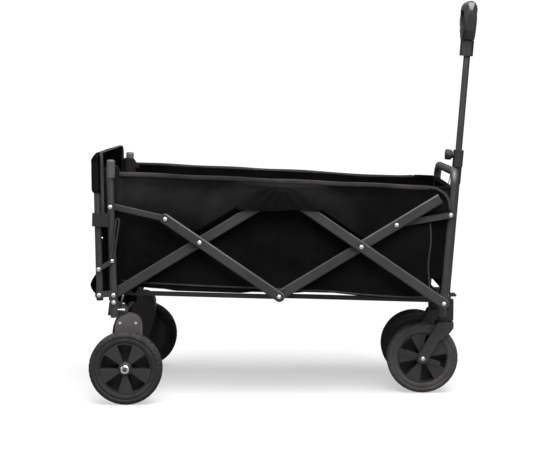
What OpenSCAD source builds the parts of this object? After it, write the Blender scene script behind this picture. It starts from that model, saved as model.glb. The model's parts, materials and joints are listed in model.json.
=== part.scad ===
// Folding wagon: a front and a rear frame joined by a double scissor on each side, with a fabric tub,
// a drop-down tailgate, two front casters and a telescopic pull handle.
// X points to the handle, Y to the wagon's left side and Z up. The wheels stand on Z = 0.
// The frame's own parts are drawn level and then pitched forward a little, as the wagon stands.

/* [Stance] */
// Forward pitch of the whole frame on its wheels, degrees
nose_down = 1.58; // [0:0.01:2.5]
// Distance from the scissor's centre to the middle of the overall box
origin_x = 33; // [28:1:38]

/* [Wheels] */
// Outer radius of every tyre
wheel_r = 100; // [96:1:102]
// Width of every tyre
tyre_w = 42; // [36:1:44]
// Radius of the rim that the tyre sits on
rim_r = 70; // [66:1:74]
// Number of windows in a rim
window_count = 5; // [4:1:8]
// Rear axle position along X
rear_axle_x = -409; // [-412:1:-404]
// Distance between the rear wheels' middle planes
rear_track = 540; // [538:1:560]
// Front axle position along X
front_axle_x = 413; // [408:1:418]
// Distance between the front wheels' middle planes
front_track = 228; // [210:1:250]
// Caster kingpin position along X
kingpin_x = 477; // [474:1:480]

/* [Frame tubes] */
// Half distance between the lower corner pivots
corner_x = 450; // [445:1:455]
// Height of the lower corner pivots
corner_z = 285; // [283:1:290]
// Diameter of a rear post
rear_post_d = 20; // [18:0.5:20]
// Distance from the middle plane to a rear post's axis
rear_post_y = 243; // [243:0.5:245]
// Backward lean of the rear posts in the frame, degrees
rear_post_lean = 2.77; // [2:0.01:3.2]
// Diameter of the front frame's tube
front_post_d = 22; // [20:0.5:22]
// Distance from the middle plane to a front post's axis
front_post_y = 199; // [197:0.5:199]
// Forward lean of the front posts in the frame, degrees
front_post_lean = 2.8; // [2:0.01:3.2]
// Height of the front frame's top tube
front_top_z = 642; // [630:1:650]
// Wall thickness of the tubes
tube_wall = 1.5; // [1:0.1:2]

/* [Scissor] */
// Half distance between the two crossing pivots
cross_x = 220; // [218:1:222]
// Height of the crossing pivots
cross_z = 434; // [430:1:438]
// Width of a scissor bar, seen from the side
bar_w = 28; // [24:1:30]
// Length of a bar's stub above its link pivot
bar_stub = 112.5; // [108:0.5:116]
// Extra length of the front bar that holds the tub's corner
long_stub = 139; // [120:1:142]
// Width of a link, seen from the side
link_w = 16; // [15:1:20]
// Half distance between the link pivots on the posts
post_pin_x = 463; // [461:1:464]
// Height of the link pivots on the posts
post_pin_z = 525; // [523:1:527]
// Height of a floor rail's section
rail_h = 12; // [10:1:14]
// Diameter of the pivot pins
pin_d = 8; // [7:0.5:8]

/* [Handle] */
// Handle pivot position along X
handle_x = 493; // [492:1:494]
// Handle pivot height
handle_z = 262; // [261:1:263]
// Forward lean of the handle, degrees
handle_lean = 4.25; // [4:0.05:4.6]
// Diameter of the handle's inner tube
inner_tube_d = 19; // [17:0.5:19]
// Distance from the pivot to the lower edge of the grip's collar
collar_at = 689; // [640:1:689]
// Distance from the pivot to the top of the grip
grip_top = 843; // [820:1:845]
// Width of the grip across the wagon
grip_w = 118; // [100:1:130]

/* [Tub] */
// Height of the tub's rim at the scissor's centre
rim_z = 607; // [600:1:612]
// Fall of the rim towards the front, degrees
rim_fall = 1; // [0.8:0.1:1.4]
// Underside of the tub's floor
floor_z = 306; // [304:1:310]
// Distance from the middle plane to a side wall's outer face
wall_y = 209; // [206:0.5:209]
// Distance from the middle plane to the rim's outer edge
rim_y = 229; // [224:0.5:229]
// Thickness of the fabric walls
cloth_t = 4; // [3:0.5:5]

/* [Tailgate] */
// Diameter of the tailgate's tube
gate_tube_d = 19; // [17:0.5:19]
// Distance from the middle plane to the tailgate tube's legs
gate_y = 240; // [238:0.5:241]
// Backward lean of the tailgate, degrees
gate_lean = 2.2; // [1.8:0.1:2.6]
// Length of the tailgate above its pivot
gate_h = 371; // [360:1:372]

/* [Hidden] */
$fn = 48;

frame_paint = "dimgray";
plastic = "darkslategray";
cloth = "black";
steel = "silver";

// Scissor geometry: every bar leans by the same angle, and crosses its partner at one height
bar_angle = atan((cross_z - corner_z) / (corner_x - cross_x));
corner_reach = norm([corner_x - cross_x, cross_z - corner_z]);
centre_reach = cross_x / cos(bar_angle);
bottom_z = cross_z - cross_x * tan(bar_angle);
top_z = cross_z + cross_x * tan(bar_angle);
link_x = cross_x + bar_stub * cos(bar_angle);
link_z = cross_z + bar_stub * sin(bar_angle);

// Layers across the wagon, as distances from the middle plane
front_rail_layer = [176, 186];
rear_rail_layer = [196, 206];
front_link_layer = [210.4, 217.6];
inner_bar_layer = [218, 232];
rear_link_layer = [224, 231.6];
outer_bar_layer = [232.5, 246.5];
gate_plate_layer = [253.4, 256.4];
stay_layer = [253.4, 255.9];
bar_edge_r = 4.5;
bar_wall = 1.6;
end_plug = 12;
rail_wall = 1.4;

// Fits
run_gap = 0.05;
pin_r = pin_d / 2;
pin_bore_r = pin_r + run_gap;
axle_r = 6;
axle_bore_r = axle_r + run_gap;
rivet_head_r = 4.8;
rivet_head_h = 2.6;
washer_t = 0.45;

// Tyre and hub
tyre_half = tyre_w / 2;
hub_half = 22.5;
web_half = 18.5;
back_wall = 3.5;
hub_boss_r = 17;
window_in_r = 18.4;
window_out_r = 67.5;
window_arc = 36;

// Rear posts and what they carry
rear_post_foot_z = 222;
rear_post_top_z = 604;
cap_r = 11.6;
cap_h = 50;
crossbar_d = 18;
crossbar_at = [-420, 249];
arch_at = [-405, 206.5];
arch_r = 35;
bracket_inner_y = 195;
bracket_outer_y = 245;
bracket_t = 2;
nut_from_y = rear_track / 2 + hub_half + 0.7;

// Front frame, casters and handle foot
front_post_foot_z = 243;
front_bend_r = 34;
front_bar_at = [470, 252];
front_bar_r = 10;
front_bar_half = front_post_y - front_post_d / 2 - 0.1;
housing_box = [44, 40, 58];
housing_x = 455;
housing_z = 207;
fork_inner = tyre_half + 3;
fork_t = 3.5;
fork_top = 203;
fork_crown_z = 195.5;
ear_y = [13, 16];

// Handle, measured along its own axis from the pivot
outer_tube_r = 11.5;
outer_tube_top = 400;
sleeve_from = 323;
clamp_from = 372;
clamp_to = 420;
sleeve_r = 13.2;
knob_at = 405;
knob_r = 15;
knob_x = [-37.5, -18.8];
inner_tube_from = 300;
collar_h = 44;

// Tailgate, measured from its own pivot
gate_x = -489;
gate_z = 284;
gate_r = gate_tube_d / 2;
gate_bend_r = 32;
cover_t = 3;
stay_pin_z = 70.4;
stay_pin_at = [-491.7, 354.35];
stay_bend_at = [-455, 378];
stay_end_at = [-441.5, 490];
stay_w = 12;
clip_x = [-511, -466];
clip_z = [471, 506];
clip_y = [228, 256];

// Tub
rear_wall_x = -443;
front_wall_x = 430;
end_wall_x = 443;
end_wall_top_x = 457;
end_wall_half = 186;
lip_h = 12;

// ---- placing ----
module on_ground(tint) { color(tint) translate([-origin_x, 0, 0]) children(); }
module on_frame(tint) { on_ground(tint) rotate([0, nose_down, 0]) children(); }
module on_handle(tint) {
  on_ground(tint) translate([handle_x, 0, handle_z]) rotate([0, handle_lean, 0]) children();
}
module on_gate(tint) {
  on_frame(tint) translate([gate_x, 0, gate_z]) rotate([0, -gate_lean, 0]) children();
}
module right_side() { mirror([0, 1, 0]) children(); }
module both_sides() { children(); right_side() children(); }

// ---- shared shapes ----
// Round bar or hole along Y at a point of the XZ plane
module across(at, r, span) {
  translate([at[0], span[0], at[1]]) rotate([-90, 0, 0]) cylinder(r = r, h = span[1] - span[0]);
}
// Flat outline of the XZ plane, with its thickness along Y
module plate(span) {
  translate([0, span[1], 0]) rotate([90, 0, 0]) linear_extrude(span[1] - span[0]) children();
}
module slab2d(from, to, w) {
  run = to - from;
  translate(from) rotate(atan2(run[1], run[0])) {
    translate([0, -w / 2]) square([norm(run), w]);
    circle(d = w);
    translate([norm(run), 0]) circle(d = w);
  }
}
module rounded_rect(size, r) {
  translate([-size[0] / 2 + r, -size[1] / 2]) square([size[0] - 2 * r, size[1]]);
  translate([-size[0] / 2, -size[1] / 2 + r]) square([size[0], size[1] - 2 * r]);
  for (sx = [-1, 1], sy = [-1, 1])
    translate([sx * (size[0] / 2 - r), sy * (size[1] / 2 - r)]) circle(r = r);
}
// Section drawn in the YZ plane and pushed along X
module along_x(from, to) { translate([from, 0, 0]) rotate([90, 0, 90]) linear_extrude(to - from) children(); }
// Domed rivet head with a thin washer, facing outwards from a face at distance y
module rivet_head(at, y, r = rivet_head_r) {
  translate([at[0], y, at[1]]) rotate([-90, 0, 0]) {
    cylinder(r = r + 0.9, h = washer_t);
    rotate_extrude() intersection() {
      translate([0, washer_t + rivet_head_h - 7]) circle(r = 7);
      translate([0, washer_t]) square([r, rivet_head_h]);
    }
  }
}
// Pin with one domed head at its outer end
module pin(at, span) { across(at, pin_r, span); rivet_head(at, span[1]); }

// Hollow flat bar from one pivot towards another: rounded along its edges, and at its ends unless cut square
module bar(from, angle, reach, before, after, layer, bores, square_end = false) {
  mid = (layer[0] + layer[1]) / 2;
  depth = layer[1] - layer[0];
  translate([from[0], 0, from[1]]) rotate([0, -angle, 0]) difference() {
    intersection() {
      plate(layer) {
        slab2d([-before + bar_w / 2, 0], [reach + after - bar_w / 2, 0], bar_w);
        if (square_end) translate([reach + after - bar_w, -bar_w / 2]) square(bar_w);
      }
      along_x(-before, reach + after) translate([mid, 0]) rounded_rect([depth, bar_w], bar_edge_r);
    }
    along_x(end_plug - before, reach + after + (square_end ? 1 : -end_plug))
      translate([mid, 0]) rounded_rect([depth - 2 * bar_wall, bar_w - 2 * bar_wall], bar_edge_r - bar_wall);
    for (x = bores) across([x, 0], pin_bore_r, [layer[0] - 1, layer[1] + 1]);
  }
}
module link(from, to, layer) {
  difference() {
    plate(layer) slab2d(from, to, link_w);
    across(from, pin_bore_r, [layer[0] - 1, layer[1] + 1]);
    across(to, pin_bore_r, [layer[0] - 1, layer[1] + 1]);
  }
}
// Upside-down U of round tube in the YZ plane
module u_rod(half, foot, top, r, bend) {
  both_sides() {
    translate([0, half, foot]) cylinder(r = r, h = top - bend - foot);
    translate([0, half - bend, top - bend]) rotate([90, 0, 90])
      rotate_extrude(angle = 90) translate([bend, 0]) circle(r = r);
  }
  across([0, top], r, [bend - half, half - bend]);
}
module u_tube(half, foot, top, r, bend) {
  difference() {
    u_rod(half, foot, top, r, bend);
    u_rod(half, foot - 1, top, r - tube_wall, bend);
  }
}

// ---- wheels ----
module at_wheel(x, y) { translate([x, y, wheel_r]) rotate([90, 0, 0]) children(); }
module tyre_shape() {
  rotate_extrude($fn = 96) polygon([[rim_r + 0.1, -tyre_half + 4], [rim_r + 8, -tyre_half + 1],
    [wheel_r - 10, -tyre_half], [wheel_r - 4, -tyre_half + 2], [wheel_r, -tyre_half + 9],
    [wheel_r, tyre_half - 9], [wheel_r - 4, tyre_half - 2], [wheel_r - 10, tyre_half],
    [rim_r + 8, tyre_half - 1], [rim_r + 0.1, tyre_half - 4]]);
}
// Disc hub with wedge-shaped pockets that open to the outside of the wagon
module hub_shape(first_window) {
  half = [[axle_bore_r, hub_half], [hub_boss_r - 3, hub_half], [hub_boss_r, web_half],
    [rim_r - 0.6, web_half], [rim_r, web_half - 1.5]];
  difference() {
    rotate_extrude($fn = 96)
      polygon(concat([for (p = half) p], [for (i = [len(half) - 1:-1:0]) [half[i][0], -half[i][1]]]));
    for (i = [0:window_count - 1]) rotate(first_window + i * 360 / window_count)
      translate([0, 0, back_wall - web_half]) linear_extrude(2 * hub_half) window_outline();
  }
}
module window_outline() {
  intersection() {
    difference() { circle(r = window_out_r, $fn = 96); circle(r = window_in_r); }
    polygon([[0, 0], [rim_r, -rim_r * tan(window_arc / 2)], [rim_r, rim_r * tan(window_arc / 2)]]);
  }
}
module rear_hub() { hub_shape(18); }
// The front hubs carry a flat bar across their outer face
module front_hub() {
  hub_shape(-7);
  difference() {
    rotate(-20) translate([-51, -7.5, web_half - 2]) cube([102, 15, 5.2]);
    cylinder(r = hub_boss_r - 1, h = hub_half);
  }
}
module rear_tyre_left() { on_ground("#2b2b2b") at_wheel(rear_axle_x, rear_track / 2) tyre_shape(); }
module rear_tyre_right() { on_ground("#2b2b2b") at_wheel(rear_axle_x, -rear_track / 2) tyre_shape(); }
module rear_hub_left() { on_ground("#3a3a3a") at_wheel(rear_axle_x, rear_track / 2) mirror([0, 0, 1]) rear_hub(); }
module rear_hub_right() { on_ground("#3a3a3a") at_wheel(rear_axle_x, -rear_track / 2) rear_hub(); }
module front_tyre_left() { on_ground("#2b2b2b") at_wheel(front_axle_x, front_track / 2) tyre_shape(); }
module front_tyre_right() { on_ground("#2b2b2b") at_wheel(front_axle_x, -front_track / 2) tyre_shape(); }
module front_hub_left() { on_ground("#3a3a3a") at_wheel(front_axle_x, front_track / 2) mirror([0, 0, 1]) front_hub(); }
module front_hub_right() { on_ground("#3a3a3a") at_wheel(front_axle_x, -front_track / 2) front_hub(); }

// ---- rear frame ----
// Leans children backwards about the height of the lower corner pivot
module on_rear_post() { translate([-corner_x - 1, 0, corner_z]) rotate([0, -rear_post_lean, 0]) children(); }
module rear_post() {
  difference() {
    on_rear_post() translate([0, rear_post_y, rear_post_foot_z - corner_z]) difference() {
      cylinder(d = rear_post_d, h = rear_post_top_z - rear_post_foot_z);
      translate([0, 0, 4]) cylinder(r = rear_post_d / 2 - tube_wall, h = rear_post_top_z - rear_post_foot_z);
    }
    across([-corner_x, corner_z], pin_bore_r, [rear_post_y - 20, rear_post_y + 20]);
    across([-post_pin_x, post_pin_z], pin_bore_r, [rear_post_y - 20, rear_post_y + 20]);
    across([-corner_x + 1, corner_z - 20], pin_bore_r, [rear_post_y - 20, rear_post_y + 20]);
  }
}
module rear_post_left() { on_frame(frame_paint) rear_post(); }
module rear_post_right() { on_frame(frame_paint) right_side() rear_post(); }
module rear_post_caps() {
  on_frame(plastic) both_sides() on_rear_post()
    translate([2, rear_post_y, rear_post_top_z - corner_z - 2]) rotate([0, rear_post_lean, 0]) difference() {
      rotate_extrude() polygon([[0, 2.2], [0, cap_h], [cap_r - 4, cap_h], [cap_r - 1, cap_h - 1.5],
        [cap_r, cap_h - 5], [cap_r, 2.2]]);
      translate([4, 0, cap_h - 10]) rotate([90, 0, 0]) cylinder(r = 1.6, h = 2 * cap_r, center = true);
    }
}
// Cross tube with an end plate inside each post
module rear_crossbar() {
  on_ground(frame_paint) {
    across(crossbar_at, crossbar_d / 2, [-rear_post_y + 15, rear_post_y - 15]);
    both_sides() difference() {
      plate([rear_post_y - 15, rear_post_y - 10.4])
        polygon([[-461, 238], [-430, 236], [-408, 244], [-404, 254], [-410, 266], [-432, 276], [-456, 276]]);
      rotate([0, nose_down, 0])
        across([-corner_x + 1, corner_z - 20], pin_bore_r, [rear_post_y - 20, rear_post_y]);
    }
  }
}
module bracket_outline() {
  translate(arch_at) circle(r = arch_r);
  translate(arch_at + [-arch_r, -45]) square([2 * arch_r, 45]);
  polygon([arch_at + [-arch_r, -45], arch_at + [arch_r, -45], [rear_axle_x + 17, wheel_r - 6],
    [rear_axle_x - 17, wheel_r - 6]]);
  translate([rear_axle_x, wheel_r]) circle(r = 18);
}
// Arched housing: two plates and a curved top sheet, seated on the cross tube
module rear_wheel_bracket() {
  bore_span = [bracket_inner_y - 1, bracket_outer_y + 1];
  difference() {
    union() {
      plate([bracket_outer_y - bracket_t, bracket_outer_y]) bracket_outline();
      plate([bracket_inner_y, bracket_inner_y + bracket_t]) bracket_outline();
      plate([bracket_inner_y, bracket_outer_y]) difference() {
        union() {
          translate(arch_at) circle(r = arch_r);
          translate(arch_at + [-arch_r, -40]) square([2 * arch_r, 40]);
        }
        translate(arch_at) circle(r = arch_r - bracket_t);
        translate(arch_at + [bracket_t - arch_r, -41]) square([2 * (arch_r - bracket_t), 41]);
      }
    }
    across(crossbar_at, crossbar_d / 2 + run_gap, bore_span);
    across([rear_axle_x, wheel_r], axle_bore_r, bore_span);
    for (x = [-21.5, 22]) across([arch_at[0] + x, arch_at[1] + 12], 2.5, bore_span);
  }
}
module rear_wheel_bracket_left() { on_ground(frame_paint) rear_wheel_bracket(); }
module rear_wheel_bracket_right() { on_ground(frame_paint) right_side() rear_wheel_bracket(); }
// Stub axle: a bolt with its head inside the bracket and a shoulder against the outer plate
module rear_axles() {
  on_ground(steel) both_sides() {
    across([rear_axle_x, wheel_r], axle_r, [bracket_inner_y - 0.5, nut_from_y + 5]);
    across([rear_axle_x, wheel_r], 10, [bracket_inner_y - 6, bracket_inner_y - 0.4]);
    across([rear_axle_x, wheel_r], 9, [bracket_outer_y + 0.1, rear_track / 2 - hub_half - 0.4]);
  }
}
// Bright ring nut on the outside of each rear hub
module rear_axle_nuts() {
  on_ground("gainsboro") both_sides() translate([rear_axle_x, nut_from_y, wheel_r]) rotate([-90, 0, 0])
    rotate_extrude() polygon([[axle_r + run_gap, 0], [12.5, 0], [12.5, 1], [11.5, 3.4], [9, 5],
      [axle_r + 1.2, 5.4], [axle_r + run_gap, 5]]);
}
module tailgate_hinge_plates() {
  upper = [-corner_x - 1, corner_z + 3.7];
  lower = [-corner_x + 1, corner_z - 20];
  on_frame(frame_paint) both_sides() difference() {
    plate(gate_plate_layer) {
      translate([gate_x, gate_z]) circle(r = 11);
      slab2d([gate_x, gate_z + 2], upper, 17);
      translate(upper) circle(r = 10);
      slab2d(upper, lower, 17);
    }
    across([gate_x, gate_z], pin_bore_r, [gate_plate_layer[0] - 1, gate_plate_layer[1] + 1]);
    across([-corner_x, corner_z], pin_bore_r, [gate_plate_layer[0] - 1, gate_plate_layer[1] + 1]);
    across(lower, pin_bore_r, [gate_plate_layer[0] - 1, gate_plate_layer[1] + 1]);
  }
}
// Corner pivots, link pivots, plate rivets and the rivets of the arched brackets
module rear_rivets() {
  on_frame(steel) both_sides() {
    pin([-corner_x, corner_z], [rear_rail_layer[0] - 2, gate_plate_layer[1] + 0.1]);
    pin([-post_pin_x, post_pin_z], [rear_link_layer[0] - 1, rear_post_y + rear_post_d / 2 + 0.3]);
    pin([-corner_x + 1, corner_z - 20], [rear_post_y - 16, gate_plate_layer[1] + 0.1]);
  }
  on_ground(steel) both_sides() for (x = [-21.5, 22]) {
    at = [arch_at[0] + x, arch_at[1] + 12];
    across(at, 2.4, [bracket_outer_y - 1, bracket_outer_y + 0.1]);
    rivet_head(at, bracket_outer_y + 0.05, 3);
  }
}

// ---- front frame ----
module on_front_post() {
  translate([corner_x + 4.2, 0, corner_z]) rotate([0, front_post_lean, 0]) children();
}
module front_u_frame() {
  on_frame(frame_paint) difference() {
    on_front_post() u_tube(front_post_y, front_post_foot_z - corner_z, front_top_z - corner_z,
      front_post_d / 2, front_bend_r);
    both_sides() {
      across([corner_x, corner_z], pin_bore_r, [front_post_y - 20, front_post_y + 20]);
      across([post_pin_x, post_pin_z], pin_bore_r, [front_post_y - 20, front_post_y + 20]);
    }
  }
}
module front_crossbar() {
  on_ground(frame_paint) difference() {
    across(front_bar_at, front_bar_r, [-front_bar_half, front_bar_half]);
    across(front_bar_at, front_bar_r - tube_wall, [-front_bar_half - 1, front_bar_half + 1]);
  }
}
// Block clamped on the cross tube, bored from below for the caster's kingpin
module kingpin_housings() {
  on_ground(plastic) both_sides() difference() {
    translate([housing_x + housing_box[0] / 2, front_track / 2, housing_z])
      linear_extrude(housing_box[2]) rounded_rect([housing_box[0], housing_box[1]], 8);
    across(front_bar_at, front_bar_r + run_gap, [0, front_track]);
    translate([kingpin_x, front_track / 2, housing_z - 1]) cylinder(r = axle_bore_r, h = 31);
  }
}
module handle_bracket() {
  on_ground(frame_paint) both_sides() difference() {
    plate(ear_y) {
      slab2d(front_bar_at, [handle_x, handle_z], 28);
      translate([handle_x, handle_z - 4]) square([28, 7]);
    }
    across(front_bar_at, front_bar_r + run_gap, [ear_y[0] - 1, ear_y[1] + 1]);
    across([handle_x, handle_z], pin_bore_r, [ear_y[0] - 1, ear_y[1] + 1]);
  }
}
// Corner pivots with their spacers, link pivots and the handle's pivot bolt
module front_rivets() {
  spacer = [front_post_y + front_post_d / 2 + 0.1, outer_bar_layer[0] - 0.3];
  on_frame(steel) both_sides() {
    pin([corner_x, corner_z], [front_rail_layer[0] - 2, outer_bar_layer[1] + 0.3]);
    across([corner_x, corner_z], 9, spacer);
    pin([post_pin_x, post_pin_z], [front_post_y - 12, front_link_layer[1] + 0.2]);
  }
  on_ground(steel) {
    across([handle_x, handle_z], pin_r, [-ear_y[1] - 0.1, ear_y[1] + 0.1]);
    both_sides() rivet_head([handle_x, handle_z], ear_y[1] + 0.1);
  }
}

// ---- casters ----
module fork_arm_outline() {
  translate([front_axle_x, wheel_r]) circle(r = 14);
  polygon([[front_axle_x - 13.5, wheel_r + 4], [422, 149], [447, 190], [453, fork_top], [498, fork_top],
    [498, 187], [487, 172], [458, 149], [front_axle_x + 13.5, wheel_r - 4]]);
}
// Kingpin, crown and an arm on each side of the wheel
module caster_fork() {
  arm_y = [fork_inner, fork_inner + fork_t];
  difference() {
    union() {
      translate([0, front_track / 2, 0]) {
        both_sides() plate(arm_y) fork_arm_outline();
        translate([458, -fork_inner, fork_crown_z]) cube([40, 2 * fork_inner, fork_top - fork_crown_z]);
      }
      translate([kingpin_x, front_track / 2, fork_top]) cylinder(r = 17, h = 3.6);
      translate([kingpin_x, front_track / 2, fork_top]) cylinder(r = axle_r, h = 33);
    }
    across([front_axle_x, wheel_r], axle_bore_r, [0, front_track]);
  }
}
module caster_fork_left() { on_ground(frame_paint) caster_fork(); }
module caster_fork_right() { on_ground(frame_paint) right_side() caster_fork(); }
module caster_axle() {
  span = [front_track / 2 - fork_inner - fork_t - 0.1, front_track / 2 + fork_inner + fork_t + 0.1];
  across([front_axle_x, wheel_r], axle_r, span);
  rivet_head([front_axle_x, wheel_r], span[1]);
  across([front_axle_x, wheel_r], 9, [span[0] - 5, span[0]]);
}
module caster_axle_left() { on_ground(steel) caster_axle(); }
module caster_axle_right() { on_ground(steel) right_side() caster_axle(); }

// ---- handle ----
module handle_outer_tube() {
  on_handle(frame_paint) difference() {
    union() {
      cylinder(r = outer_tube_r, h = outer_tube_top);
      sphere(r = outer_tube_r);
    }
    translate([0, 0, 14]) cylinder(d = inner_tube_d + 2 * run_gap, h = outer_tube_top);
    across([0, 0], pin_bore_r, [-20, 20]);
  }
}
module clamp_sleeve() {
  on_handle(plastic) difference() {
    union() {
      translate([0, 0, sleeve_from]) cylinder(r = sleeve_r, h = clamp_from - sleeve_from);
      translate([0, 0, clamp_from]) linear_extrude(clamp_to - clamp_from) rounded_rect([28, 32], 9);
      translate([-18.4, 0, knob_at]) rotate([0, 90, 0]) cylinder(r = 9.5, h = 12);
    }
    translate([0, 0, sleeve_from - 1])
      cylinder(r = outer_tube_r + run_gap, h = outer_tube_top - sleeve_from + 1.2);
    cylinder(d = inner_tube_d + 2 * run_gap, h = clamp_to + 1);
    translate([-19, 0, knob_at]) rotate([0, 90, 0]) cylinder(r = 3 + run_gap, h = 8);
  }
}
// Ribbed clamping knob on a short screw
module clamp_knob() {
  on_handle(plastic) translate([knob_x[0], 0, knob_at]) rotate([0, 90, 0]) {
    difference() {
      rotate_extrude()
        polygon([[0, 0], [knob_r - 2, 0], [knob_r, 2], [knob_r, 15], [knob_r - 3, 18.7], [0, 18.7]]);
      for (i = [0:11]) rotate(i * 30) translate([knob_r + 0.6, 0, 4]) cylinder(r = 1.7, h = 20);
    }
    translate([0, 0, 18.7]) cylinder(r = 3, h = 7);
  }
}
module handle_inner_tube() {
  on_handle(frame_paint) translate([0, 0, inner_tube_from]) difference() {
    cylinder(d = inner_tube_d, h = collar_at - inner_tube_from + 40);
    translate([0, 0, -1]) cylinder(d = inner_tube_d - 2 * tube_wall, h = collar_at - inner_tube_from + 42);
  }
}
module handle_collar() {
  on_handle(plastic) translate([0, 0, collar_at]) difference() {
    translate([-2.5, 0, 0]) linear_extrude(collar_h) rounded_rect([37, 32], 10);
    translate([0, 0, -1]) cylinder(d = inner_tube_d + 2 * run_gap, h = 41.5);
  }
}
// Closed loop grip: a ring seen from the front, a pear seen from the side
module handle_grip() {
  foot = collar_at + collar_h + 0.1;
  gap_from = foot + 30;
  gap_to = grip_top - 30;
  on_handle("#101010") intersection() {
    along_x(-32, 30) difference() {
      hull() {
        translate([0, foot + 12]) square([44, 24], center = true);
        for (s = [-1, 1]) {
          translate([s * (grip_w / 2 - 26), grip_top - 26]) circle(r = 26, $fn = 32);
          translate([s * (grip_w / 2 - 34), foot + 40]) circle(r = 26, $fn = 32);
        }
      }
      hull() for (s = [-1, 1]) {
        translate([s * (grip_w / 2 - 31), gap_to - 11]) circle(r = 11, $fn = 32);
        translate([s * (grip_w / 2 - 35), gap_from + 9]) circle(r = 9, $fn = 32);
      }
    }
    plate([-grip_w, grip_w]) hull() {
      translate([-2.7, foot + 1]) square([36, 2], center = true);
      translate([-5.2, foot + 60]) circle(r = 25.4, $fn = 32);
      translate([-5, grip_top - 22]) circle(r = 22, $fn = 32);
    }
  }
}

// ---- scissor bars, links and floor rails ----
module bar_a() {
  bar([-corner_x, corner_z], bar_angle, corner_reach + centre_reach, 14, 14, inner_bar_layer,
    [0, corner_reach, corner_reach + centre_reach]);
}
module bar_b() {
  bar([0, bottom_z], 180 - bar_angle, centre_reach + bar_stub, 15, 15, outer_bar_layer,
    [0, centre_reach, centre_reach + bar_stub]);
}
module bar_c() {
  bar([0, bottom_z], bar_angle, centre_reach + bar_stub, 14, long_stub, inner_bar_layer,
    [0, centre_reach, centre_reach + bar_stub], true);
}
module bar_d() {
  bar([corner_x, corner_z], 180 - bar_angle, corner_reach + centre_reach, 15, 14, outer_bar_layer,
    [0, corner_reach, corner_reach + centre_reach]);
}
module bar_a_left() { on_frame(frame_paint) bar_a(); }
module bar_a_right() { on_frame(frame_paint) right_side() bar_a(); }
module bar_b_left() { on_frame(frame_paint) bar_b(); }
module bar_b_right() { on_frame(frame_paint) right_side() bar_b(); }
module bar_c_left() { on_frame(frame_paint) bar_c(); }
module bar_c_right() { on_frame(frame_paint) right_side() bar_c(); }
module bar_d_left() { on_frame(frame_paint) bar_d(); }
module bar_d_right() { on_frame(frame_paint) right_side() bar_d(); }
through_both = [inner_bar_layer[0] - 1, outer_bar_layer[1] + 0.2];
module bar_a_pins() {
  on_frame(steel) both_sides() {
    pin([-cross_x, cross_z], through_both);
    pin([0, top_z], through_both);
  }
}
module bar_b_pins() {
  on_frame(steel) both_sides() {
    pin([0, bottom_z], through_both);
    pin([-link_x, link_z], [outer_bar_layer[0] - 0.3, outer_bar_layer[1] + 0.2]);
  }
}
module bar_c_pins() {
  on_frame(steel) both_sides() {
    pin([cross_x, cross_z], through_both);
    pin([link_x, link_z], [inner_bar_layer[0] + 0.1, inner_bar_layer[1] + 0.2]);
  }
}
module link_rear() { link([-post_pin_x, post_pin_z], [-link_x, link_z], rear_link_layer); }
module link_front() { link([post_pin_x, post_pin_z], [link_x, link_z], front_link_layer); }
module link_rear_left() { on_frame(frame_paint) link_rear(); }
module link_rear_right() { on_frame(frame_paint) right_side() link_rear(); }
module link_front_left() { on_frame(frame_paint) link_front(); }
module link_front_right() { on_frame(frame_paint) right_side() link_front(); }
module half_rail(side, layer) {
  difference() {
    plate(layer) slab2d([side * corner_x, corner_z], [-side * 10, corner_z], rail_h);
    plate([layer[0] + rail_wall, layer[1] - rail_wall])
      slab2d([side * (corner_x - 16), corner_z], [0, corner_z], rail_h - 2 * rail_wall);
    across([side * corner_x, corner_z], pin_bore_r, [layer[0] - 1, layer[1] + 1]);
  }
}
module rails_rear() { on_frame(frame_paint) both_sides() half_rail(-1, rear_rail_layer); }
module rails_front() { on_frame(frame_paint) both_sides() half_rail(1, front_rail_layer); }

// ---- tailgate ----
module tailgate_tube() {
  on_gate(frame_paint) difference() {
    u_tube(gate_y, -16, gate_h, gate_r, gate_bend_r);
    both_sides() for (z = [0, stay_pin_z]) across([0, z], pin_bore_r, [gate_y - 15, gate_y + 15]);
  }
}
// Plastic catches on the tailgate that snap onto the rear posts
module tailgate_clips() {
  on_frame(plastic) both_sides() difference() {
    translate([clip_x[0], clip_y[0], clip_z[0]])
      cube([clip_x[1] - clip_x[0], clip_y[1] - clip_y[0], clip_z[1] - clip_z[0]]);
    translate([gate_x, gate_y, gate_z]) rotate([0, -gate_lean, 0]) cylinder(r = gate_r + run_gap, h = 300);
    on_rear_post() translate([0, rear_post_y, 0]) cylinder(r = rear_post_d / 2 + 0.5, h = 300);
  }
}
// Slotted stays: hooked arms that hold the tailgate when it is down
module tailgate_stays() {
  slot_run = (stay_end_at - stay_bend_at) / norm(stay_end_at - stay_bend_at);
  on_frame(frame_paint) both_sides() {
    difference() {
      plate(stay_layer) {
        slab2d(stay_pin_at, stay_bend_at, stay_w);
        slab2d(stay_bend_at, stay_end_at, stay_w);
      }
      plate([stay_layer[0] - 1, stay_layer[1] + 1]) slab2d(stay_bend_at + 10 * slot_run, stay_end_at, 5);
      across(stay_pin_at, pin_bore_r, [stay_layer[0] - 1, stay_layer[1] + 1]);
    }
    rivet_head(stay_bend_at, stay_layer[1]);
  }
}
module tailgate_rivets() {
  on_frame(steel) both_sides() {
    pin([gate_x, gate_z], [gate_y - 11, gate_plate_layer[1] + 0.3]);
    pin(stay_pin_at, [gate_y - 11, stay_layer[1] + 0.3]);
  }
}
module tailgate_panel() {
  on_gate(cloth) translate([-1.5, 12 - gate_y, 18]) cube([3, 2 * gate_y - 24, gate_h - 90]);
}
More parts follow.
